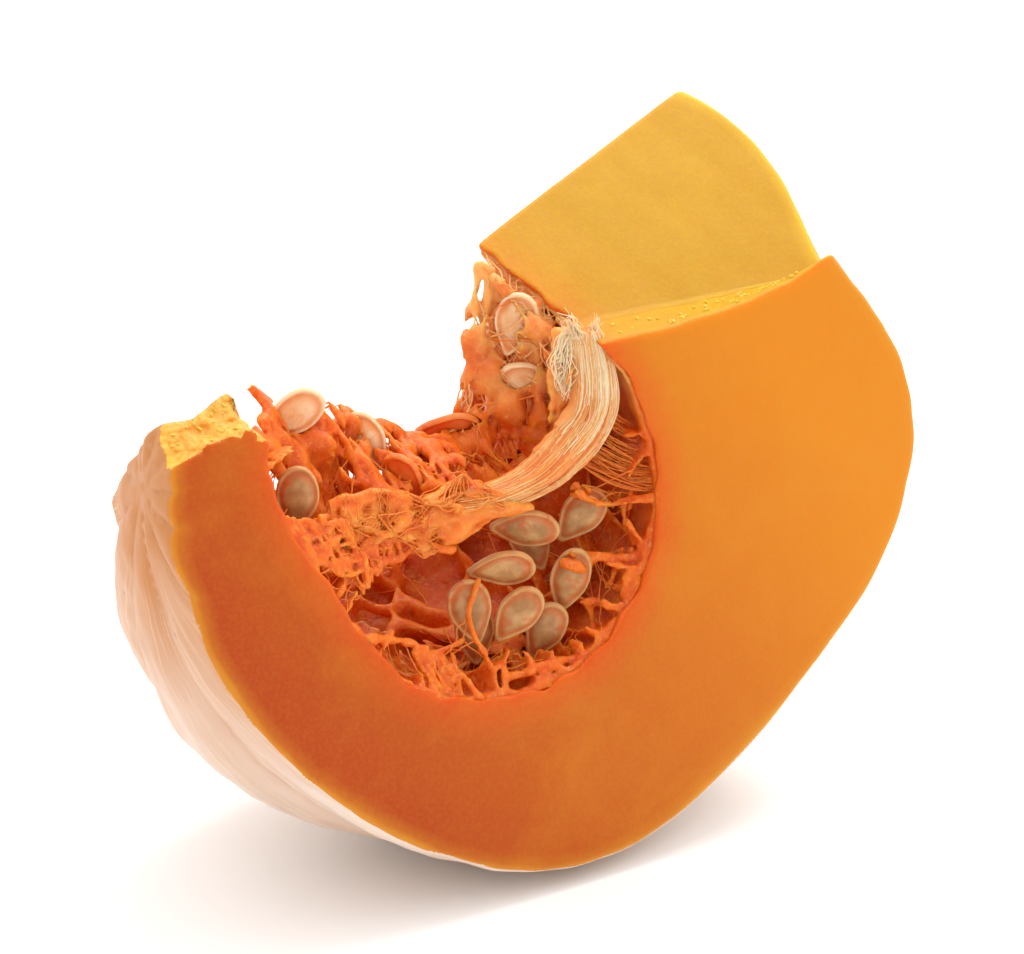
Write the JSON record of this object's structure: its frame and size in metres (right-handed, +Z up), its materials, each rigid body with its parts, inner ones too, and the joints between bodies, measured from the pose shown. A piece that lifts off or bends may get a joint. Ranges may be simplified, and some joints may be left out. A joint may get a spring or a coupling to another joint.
{
  "type": "kabocha squash piece",
  "caption": "Thick cut piece of a ribbed winter squash lying on its rind, with a C-shaped cut face, an open hollow, fibrous pulp and flat seeds.",
  "frame": {"origin": "bottom centre of the piece's box, on the surface that it lies on", "axes": "+Z up; the front cut faces -Y and a little to +X; +X runs from the thin left tip to the thick right arm"},
  "size_m": [0.2152, 0.198, 0.1904],
  "materials": {
    "flesh": "moist cut squash flesh, orange, with a thin pale tan ribbed rind on the outside",
    "rind": "satin pale tan rind with fine streaks along the ribs",
    "pulp": "wet orange-red stringy pulp",
    "pulp_pale": "pale orange to cream fibrous band",
    "seed": "matt beige seed coat with a paler raised rim"
  },
  "bodies": {
    "root": {"flesh": "flesh", "pulp_band": "pulp_pale", "pulp_front": "pulp", "pulp_back": "pulp", "seed_01": "seed", "seed_02": "seed", "seed_03": "seed", "seed_04": "seed", "seed_05": "seed", "seed_06": "seed", "seed_07": "seed", "seed_08": "seed", "seed_09": "seed", "seed_10": "seed", "seed_11": "seed", "seed_12": "seed", "seed_13": "seed", "seed_14": "seed", "seed_15": "seed", "seed_16": "seed", "seed_17": "seed", "seed_18": "seed"}
  },
  "joints": []
}
